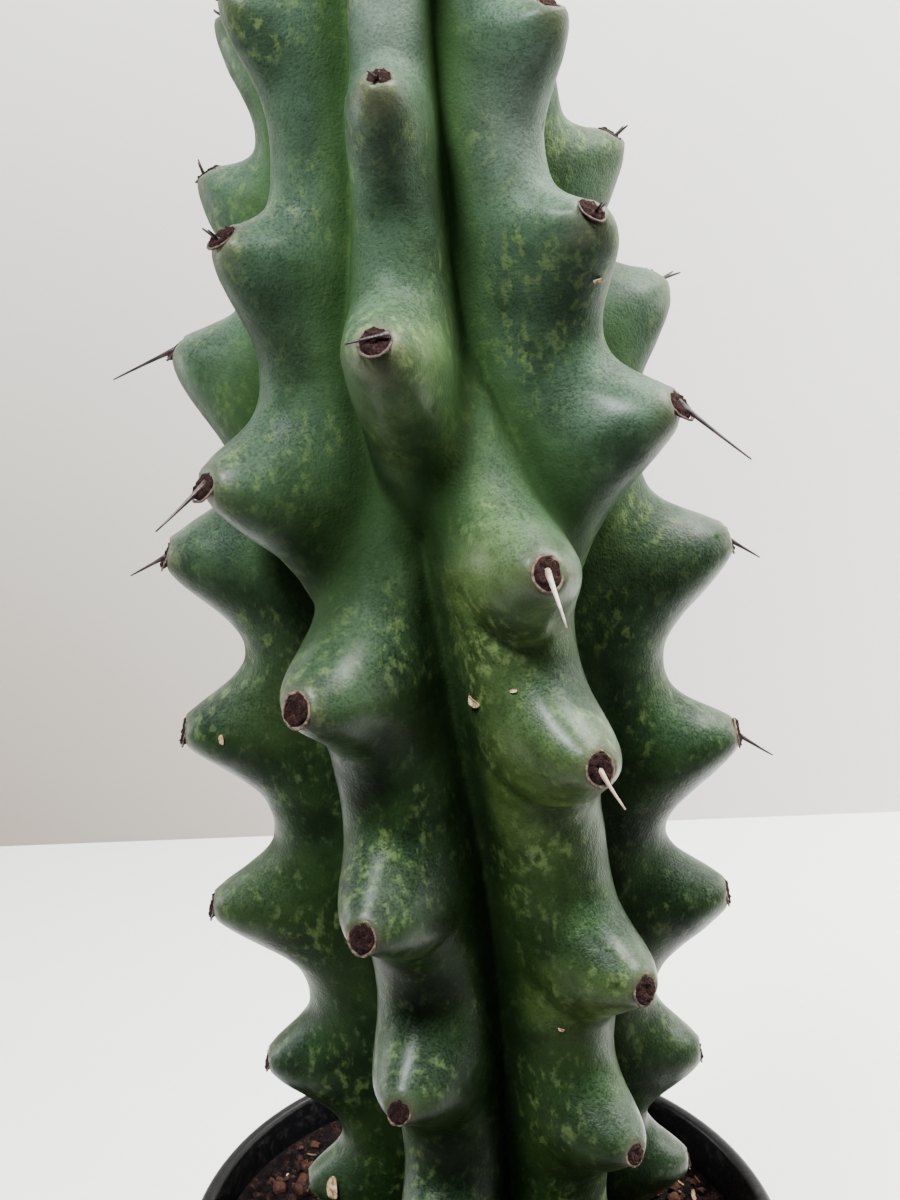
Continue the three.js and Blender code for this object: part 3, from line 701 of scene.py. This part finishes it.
felt, shader, place = finish_of("areole_felt", 0.95)
tuft = place.grain(2400, 4, 0.7)
base = tuft.ramp(0.36, 0.7).tint(colour(16, 8, 8), colour(58, 29, 26))
base = (place.grain(800, 3, 0.6).ramp(0.6, 0.74) * 0.5).tint(base, colour(112, 74, 56))
base = (place.part(2).ramp(0.33, 0.36) * 0.4).tint(base, colour(128, 82, 54))
feed(shader, "Base Color", base)
relief(shader, tuft, 0.6 * MM)
shader.inputs["Specular IOR Level"].default_value = 0.2
settle(felt_pads, "areole_felt_pads", felt)

rim = fresh(bpy.ops.mesh.primitive_torus_add, major_segments=32, minor_segments=8,
            major_radius=(AREOLE_RADIUS + 0.1) * MM, minor_radius=RIM_THICK)
for vertex in rim.data.vertices:
    v = vertex.co
    v *= 1 + 0.07 * noise.noise(v * 900)
    v.y *= RIM_OVAL
    v.z = v.z * 0.8 + noise.noise(v * 1500) * 0.12 * MM
corky_rims = copies(rim, [set_against(spot - out * RIM_SINK + below(out) * RIM_BELOW, out, size, upright())
                          for spot, out, size, *_ in areole_seats()])
bpy.ops.object.shade_smooth()

cork, shader, place = finish_of("corky_rim", 0.75)
base = place.grain(1600, 3, 0.6).ramp(0.35, 0.65).tint(colour(50, 34, 28), colour(120, 96, 78))
feed(shader, "Base Color", (place.part(2).ramp(0.24, 0.29) * 0.75).tint(base, colour(52, 38, 32)))
relief(shader, place.grain(3000, 2), 0.1 * MM)
settle(corky_rims, "areole_corky_rims", cork)

# Spines: stout single needles in the areoles of the middle of the stem, and short pairs above.
# They grow from the felt; the lower ones at the front are pale horn, the rest grey-brown.
SPINE_ROOT = 1.4
SPINE_BELOW = 0.8 * MM
NEEDLE_RADIUS, NEEDLE_TIP = 0.6 * MM, 0.13 * MM
LONG_SPINE = 4
LONG_SLOPE, SHORT_SLOPE = (-38, -24), (20, 60)
PAIR_TURN, PAIR_SHARE = 0.35, 0.8

# One short spine at the front has bent aside and lies across its areole.
BENT_ASIDE = (math.radians(-10), 5)
BENT_LEAN, BENT_ROOT, BENT_OUT = Vector((-0.98, -0.14, -0.14)), 2.2 * MM, 0.5 * MM


def draws(seed):
    """The same draws every time, from 0 to 1."""
    state = seed
    while True:
        state = state * 16807 % 2147483647
        yield state / 2147483647


needle = fresh(bpy.ops.mesh.primitive_cone_add, vertices=12, radius1=NEEDLE_RADIUS, radius2=NEEDLE_TIP,
               depth=1, location=(0, 0, 0.5))
bpy.ops.object.transform_apply(location=True, rotation=True, scale=True)
bpy.ops.object.mode_set(mode="EDIT")
bpy.ops.mesh.select_all(action="SELECT")
bpy.ops.mesh.subdivide(number_cuts=5)
bpy.ops.object.mode_set(mode="OBJECT")
for vertex in needle.data.vertices:
    v = vertex.co
    thin = 1 - 0.25 * math.sin(v.z * math.pi)
    v.x, v.y = v.x * thin + 0.35 * MM * v.z * v.z, v.y * thin

needle_places = []
slope_draws = draws(4021)
for spot, out, _, spine, turn in areole_seats():
    if not spine:
        continue
    alone = spine > LONG_SPINE
    low, high = LONG_SLOPE if alone else SHORT_SLOPE
    slope = math.radians(low + (high - low) * next(slope_draws))
    pair = [(turn - PAIR_TURN, spine), (turn + PAIR_TURN, spine * PAIR_SHARE)]
    for bearing, length in [(turn, spine)] if alone else pair:
        level = math.cos(slope)
        lean = Vector((math.sin(bearing) * level, -math.cos(bearing) * level, math.sin(slope)))
        root = spot - lean * SPINE_ROOT * MM + below(out) * SPINE_BELOW
        if (turn, spine) == BENT_ASIDE:
            lean = BENT_LEAN
            root = spot - lean * BENT_ROOT + out * BENT_OUT
        whole = (length + SPINE_ROOT) * MM
        needle_places.append(set_against(root, lean, 1, length) @ Matrix.Diagonal((1, 1, whole, 1)))
spines = copies(needle, needle_places)
bpy.ops.object.shade_smooth()

horn, shader, place = finish_of("spine_horn", 0.4)
at_front = (1 - place.part(1).ramp(-0.050, -0.030)) * (1 - place.part(2).ramp(0.27, 0.28))
base = place.grain(420, 3, 0.6).ramp(0.4, 0.62).tint(colour(30, 20, 19), colour(66, 50, 44))
pale = place.grain(300, 2).ramp(0.4, 0.6).tint(colour(150, 128, 112), colour(206, 190, 176))
base = at_front.tint(base, pale)
feed(shader, "Base Color", base)
relief(shader, place.grain(3000), 0.05 * MM)
settle(spines, "areole_spines", horn)

# Husks: a few papery seed husks and dry scars that stick to the old skin of the front ribs.
# They are thin curled flakes, tan with paler patches.
# Each is given by its bearing, its height above the pot's rim and half its length.
HUSKS = [(6, 127, 1.4), (15, 130.5, 0.6), (49.5, 188.5, 0.8), (-74.5, 16.5, 2.2), (-74.5, 112, 0.9),
         (25, 66, 0.6)]
HUSK_THICK = 0.18 * MM
HUSK_PROUD = 0.12 * MM


def flat_piece(columns, rows, size, thick):
    """A square sheet of small faces, given its thickness by an extrusion."""
    sheet = fresh(bpy.ops.mesh.primitive_grid_add, x_subdivisions=columns, y_subdivisions=rows, size=size)
    bpy.ops.object.mode_set(mode="EDIT")
    bpy.ops.mesh.select_all(action="SELECT")
    bpy.ops.mesh.extrude_region_move(TRANSFORM_OT_translate={"value": (0, 0, thick)})
    bpy.ops.mesh.select_all(action="SELECT")
    bpy.ops.mesh.normals_make_consistent(inside=False)
    bpy.ops.object.mode_set(mode="OBJECT")
    return sheet


husk = flat_piece(8, 6, 2 * MM, HUSK_THICK)
for vertex in husk.data.vertices:
    v = vertex.co
    x, y = v.x / MM, v.y / MM
    v.x = v.x * math.sqrt(1 - 0.45 * y * y)
    v.y = v.y * math.sqrt(1 - 0.45 * x * x) * 0.5
    v.z += (0.22 * y * y - 0.1 * x * x + 0.1 * noise.noise(Vector((x, y, 0)) * 1.4)) * MM
husk_places = []
for bearing, height, size in HUSKS:
    turn = math.radians(bearing)
    spot, across, upper = (Vector(skin_points(np.array([turn + a]), np.array([height + b]))[0][0])
                           for a, b in ((0, 0), (0.02, 0), (0, 0.8)))
    out = (across - spot).cross(upper - spot).normalized()
    husk_places.append(set_against(spot + out * HUSK_PROUD, out, size, -0.5 - bearing))
husks = copies(husk, husk_places)
bpy.ops.object.shade_smooth_by_angle(angle=math.radians(50))

papery, shader, place = finish_of("papery_husk", 0.8)
base = place.grain(1300, 3, 0.6).ramp(0.38, 0.62).tint(colour(122, 92, 62), colour(206, 180, 142))
feed(shader, "Base Color", base)
relief(shader, place.grain(2200), 0.1 * MM)
settle(husks, "seed_husks", papery)

# Soil: peat pressed round the roots, with its crumbs loose on top.
# It is poured in and fills the pot to nine millimetres under the rim.
SOIL_GAP = 0.3 * MM
SOIL_LEVEL = POT_HEIGHT - SOIL_DROP * MM
SOIL_SIDES = 300
SOIL_RINGS = 92
SOIL_HEAP = 1.2 * MM
SOIL_SLOPE = 1.3 * MM
SOIL_OUTER = wall_inside(SOIL_LEVEL) - SOIL_GAP
SOIL_INNER = 10 * MM

# How far the hole clears the root, and how far the soil's top runs in under the skin, both in
# millimetres, as the skin's formula takes them.
ROOT_GAP, UNDER_SKIN = 0.4, 0.8


def soil_spot(turn, share):
    """A place on the soil before its crumbs, from the wall (share 0) to the stem (share 1)."""
    edge = skin_points(turn, np.full_like(turn, -SOIL_DROP - 1), -UNDER_SKIN)[0]
    rim = np.stack([SOIL_OUTER * np.sin(turn), -SOIL_OUTER * np.cos(turn)], -1)
    level = rim + (edge[..., :2] - rim) * share[..., None]
    heap = SOIL_HEAP * np.sin(np.clip(share, 0, 1) * math.pi) ** 2 - SOIL_SLOPE * np.sin(turn)
    return np.concatenate([level, (SOIL_LEVEL + heap)[..., None]], -1)


def crumbs(spot):
    """Height of the crumbs at a place, in metres."""
    v = Vector((spot[0], spot[1], 0))
    clod = noise.noise(v * 160) * 0.9 + noise.noise(v * 420) * 1.2
    cell = noise.voronoi(v * 400)[0][0]
    return (clod + noise.noise(v * 1300) * 0.7 - 2.4 * cell + 0.5) * MM


soil = drawn_up([
    (wall_inside(FLOOR_THICK) - SOIL_GAP, FLOOR_THICK + SOIL_GAP), (SOIL_OUTER, SOIL_LEVEL - 2 * MM),
    *((SOIL_OUTER + (SOIL_INNER - SOIL_OUTER) * ring / SOIL_RINGS, SOIL_LEVEL)
      for ring in range(SOIL_RINGS + 1)),
    (SOIL_INNER * 0.9, POT_HEIGHT + (FOOT - ROOT_GAP) * MM),
], SOIL_SIDES)
flat = np.array([v.co[:] for v in soil.data.vertices])
turn_of = np.arctan2(flat[:, 0], -flat[:, 1])
share_in = (SOIL_OUTER - np.hypot(flat[:, 0], flat[:, 1])) / (SOIL_OUTER - SOIL_INNER)
on_top = np.abs(flat[:, 2] - SOIL_LEVEL) < 0.01 * MM
in_hole = (flat[:, 2] < SOIL_LEVEL - 3 * MM) & (share_in > 1)
spots = soil_spot(turn_of, share_in)
for index in np.nonzero(on_top)[0]:
    spots[index, 2] += crumbs(spots[index]) * min(1, share_in[index] * 25)
hole = skin_points(turn_of, np.full_like(turn_of, float(FOOT)), ROOT_GAP)[0]
flat[on_top] = spots[on_top]
flat[in_hole, :2] = hole[in_hole, :2]
soil.data.vertices.foreach_set("co", flat.ravel())
soil.data.update()
bpy.ops.object.shade_smooth()

peat, shader, place = finish_of("crumbly_peat", 0.9)
fibre = place.stretched(1, 1, 2).grain(700, 5, 0.7)
base = fibre.ramp(0.42, 0.74).tint(colour(10, 6, 6), colour(76, 50, 42))
base = (place.grain(420, 3, 0.6).ramp(0.56, 0.74) * 0.4).tint(base, colour(108, 74, 56))
# Painted shade: near black towards the edges of small cells, in the gaps between crumbs.
base = (place.cells(400).ramp(0.25, 0.6) * 0.85).tint(base, colour(5, 3, 3))
feed(shader, "Base Color", base)
relief(shader, fibre + place.grain(2400, 3, 0.7) * 0.5, 1.1 * MM)
shader.inputs["Specular IOR Level"].default_value = 0.12
settle(soil, "potting_soil", peat, "soil")

# Loose crumbs: the same dark peat in small rough lumps.
# They broke off as the pot was filled, and lie over the whole top.
PEAT_CRUMBS = 1700
LEAST_IN = 0.04
grit_rng = random.Random(977)


def laid_on_soil(scale_of, most_in):
    """The move that lays a piece on the finished soil's top, at a random place and turn."""
    turn = grit_rng.random() * math.tau
    share = LEAST_IN + (most_in - LEAST_IN) * grit_rng.random()
    spot = soil_spot(np.array([turn]), np.array([share]))[0]
    spot[2] += crumbs(spot)
    tilt = Matrix.Rotation(grit_rng.uniform(-0.5, 0.5), 4, "X") @ Matrix.Rotation(turn * 7, 4, "Z")
    return Matrix.Translation(spot) @ tilt @ Matrix.Diagonal((*scale_of(), 1))


def crumb_scale():
    size = grit_rng.choice((0.4, 0.5, 0.6, 0.8, 1.0, 1.4))
    return size * grit_rng.uniform(0.8, 1.4), size, size * 0.8


lump = fresh(bpy.ops.mesh.primitive_ico_sphere_add, subdivisions=2, radius=1 * MM)
for vertex in lump.data.vertices:
    vertex.co *= 1 + 0.45 * noise.noise(vertex.co * 1300) + 0.25 * noise.noise(vertex.co * 3800)
loose = copies(lump, [laid_on_soil(crumb_scale, 0.97) for _ in range(PEAT_CRUMBS)])

broken, shader, place = finish_of("loose_peat", 0.9)
fibre = place.grain(1500, 4, 0.7)
base = place.grain(260, 1).ramp(0.35, 0.65).tint(colour(15, 9, 8), colour(66, 42, 34))
feed(shader, "Base Color", (fibre.ramp(0.5, 0.74) * 0.5).tint(base, colour(100, 70, 54)))
relief(shader, fibre, 0.5 * MM)
shader.inputs["Specular IOR Level"].default_value = 0.12
settle(loose, "peat_crumbs", broken)

# Perlite: white expanded grit that is mixed into the peat.
# The grains lie half sunk in its top.
PERLITE_GRAINS = 130


def grain_scale():
    size = grit_rng.choice((0.4, 0.5, 0.6, 0.8, 1.0))
    return size, size * grit_rng.uniform(0.75, 1.1), size * 0.8


grain = fresh(bpy.ops.mesh.primitive_ico_sphere_add, subdivisions=3, radius=1 * MM)
for vertex in grain.data.vertices:
    vertex.co *= 1 + 0.4 * noise.noise(vertex.co * 1500) + 0.12 * noise.noise(vertex.co * 4500)
perlite = copies(grain, [laid_on_soil(grain_scale, 0.9) for _ in range(PERLITE_GRAINS)])

white, shader, place = finish_of("white_perlite", 0.85)
base = place.grain(1500, 4, 0.7).ramp(0.3, 0.6).tint(colour(150, 140, 128), colour(232, 228, 220))
feed(shader, "Base Color", base)
relief(shader, place.cells(3500), 0.3 * MM)
settle(perlite, "perlite_grains", white)

# Bark and straw: tan slivers and chips, part of the potting mix.
# They are torn along the grain and lie loose on the peat.
BARK_SLIVERS = 170
SLIVER_THICK = 0.3 * MM


def sliver_scale():
    return grit_rng.uniform(0.8, 3.4), grit_rng.uniform(0.3, 0.9), grit_rng.uniform(0.5, 1.3)


sliver = flat_piece(5, 2, 1 * MM, SLIVER_THICK)
for vertex in sliver.data.vertices:
    v = vertex.co
    along = v.x / MM * 2
    v.y *= (1 - 0.4 * along * along) * (1 + 0.5 * noise.noise(v * 2500))
    v.z += (0.25 * along * along + 0.1) * MM
bark = copies(sliver, [laid_on_soil(sliver_scale, 0.95) for _ in range(BARK_SLIVERS)])

torn, shader, place = finish_of("bark_and_straw", 0.8)
fibre = place.grain(900, 4, 0.7)
base = place.grain(200, 1).ramp(0.35, 0.65).tint(colour(70, 46, 32), colour(150, 118, 84))
feed(shader, "Base Color", (fibre.ramp(0.45, 0.7) * 0.6).tint(base, colour(48, 32, 24)))
relief(shader, fibre, 0.2 * MM)
settle(bark, "bark_slivers", torn)

# Setting: a white table top with a pale wall behind it, turned a little to the picture. The table
# is painted darker towards the front as painted shade, where it would throw a haze on the skin, and
# painted lighter towards the right as painted light. The wall has one side only, so it hides nothing
# from behind.
TABLE_REACH = 2.2
WALL_BEHIND = 0.379
WALL_BELOW = 0.2
WALL_YAW = math.radians(4.8)
table = fresh(bpy.ops.mesh.primitive_plane_add, size=TABLE_REACH * 2)
table.name = "table_top"
painted, shader, place = finish_of("white_table", 0.4)
grain_and_light = place.grain(14).ramp(0.3, 0.7).tint(colour(222, 223, 221), colour(226, 227, 225))
# Painted light: the table is lighter towards the right.
grain_and_light = place.part(0).ramp(-0.3, 0.35).tint(grain_and_light, colour(252, 254, 250))
# Painted shade: the table is dark grey towards the front.
feed(shader, "Base Color", place.part(1).ramp(-0.22, 0.08).tint(colour(104, 105, 104), grain_and_light))
table.data.materials.append(painted)
wall = fresh(bpy.ops.mesh.primitive_plane_add, size=TABLE_REACH * 2,
             location=(0, WALL_BEHIND, TABLE_REACH - WALL_BELOW), rotation=(math.pi / 2, 0, WALL_YAW))
wall.name = "pale_wall"
plaster, shader, place = finish_of("warm_pale_wall", 0.9)
base = place.grain(9).ramp(0.3, 0.7).tint(colour(249, 248, 243), colour(252, 251, 246))
# Painted shade: the wall is darker and warmer low down and to the left.
low = 1 - place.part(1).ramp(-TABLE_REACH + 0.15, -TABLE_REACH + 0.85)
low_left_shade = low * (1 - place.part(0).ramp(-0.35, 0.5) * 0.9)
feed(shader, "Base Color", low_left_shade.tint(base, colour(134, 121, 109)))
feed(shader, "Alpha", 1 - place.out("ShaderNodeNewGeometry", output="Backfacing"))
wall.data.materials.append(plaster)

# Light: a window above on the left gives most of it, with a weaker one on the right, a low fill
# from the left and a lamp for the wall. The pale room shows more to the camera than it lights
# the plant.
SKY_LIGHT, SKY_SEEN = 0.1, 0.55


def soft_light(name, place, target, size, power, tone):
    """A round lamp at a place, turned to a target."""
    light = bpy.data.lights.new(name, "AREA")
    light.shape, light.size, light.energy, light.color = "DISK", size, power, tone
    lamp = bpy.data.objects.new(name, light)
    lamp.location = place
    lamp.rotation_euler = (Vector(target) - Vector(place)).to_track_quat("-Z", "Y").to_euler()
    bpy.context.scene.collection.objects.link(lamp)


soft_light("upper_left_window", (-0.36, -0.5, 1.15), (0, 0, 0.25), 0.26, 28, (0.93, 0.97, 1.0))
soft_light("right_window", (0.9, 0.12, 0.5), (0, 0, 0.2), 0.5, 6, (1.0, 0.99, 0.96))
soft_light("left_bounce", (-0.85, 0.22, 0.3), (0, 0, 0.2), 0.5, 6, (0.97, 0.99, 1.0))
soft_light("backdrop_light", (0.5, 0.08, 1.2), (0.32, 0.4, 0.15), 0.7, 42, (1.0, 0.99, 0.97))
world = bpy.data.worlds.new("pale_room")
world.use_nodes = True
sky = world.node_tree.nodes["Background"]
sky.inputs["Color"].default_value = (0.92, 0.95, 0.97, 1)
seen = Socket(world.node_tree, world.node_tree.nodes.new("ShaderNodeLightPath").outputs["Is Camera Ray"])
feed(sky, "Strength", seen * SKY_SEEN + SKY_LIGHT)
bpy.context.scene.world = world

# Camera: it stands close in front of the upper part of the stem and looks down to the pot's rim.
# Its focal length is given in pixels of the picture, as the picture's height is.
EYE = (-7.5 * MM, -264 * MM, 329.4 * MM)
PITCH = math.radians(19)
SENSOR = 36
FOCAL_PIXELS, PICTURE_PIXELS = 1600, 1200
camera = fresh(bpy.ops.object.camera_add, location=EYE, rotation=(math.pi / 2 - PITCH, 0, 0))
camera.data.sensor_fit = "VERTICAL"
camera.data.sensor_height = SENSOR
camera.data.lens = SENSOR * FOCAL_PIXELS / PICTURE_PIXELS
camera.data.clip_start = 0.01
bpy.context.scene.camera = camera
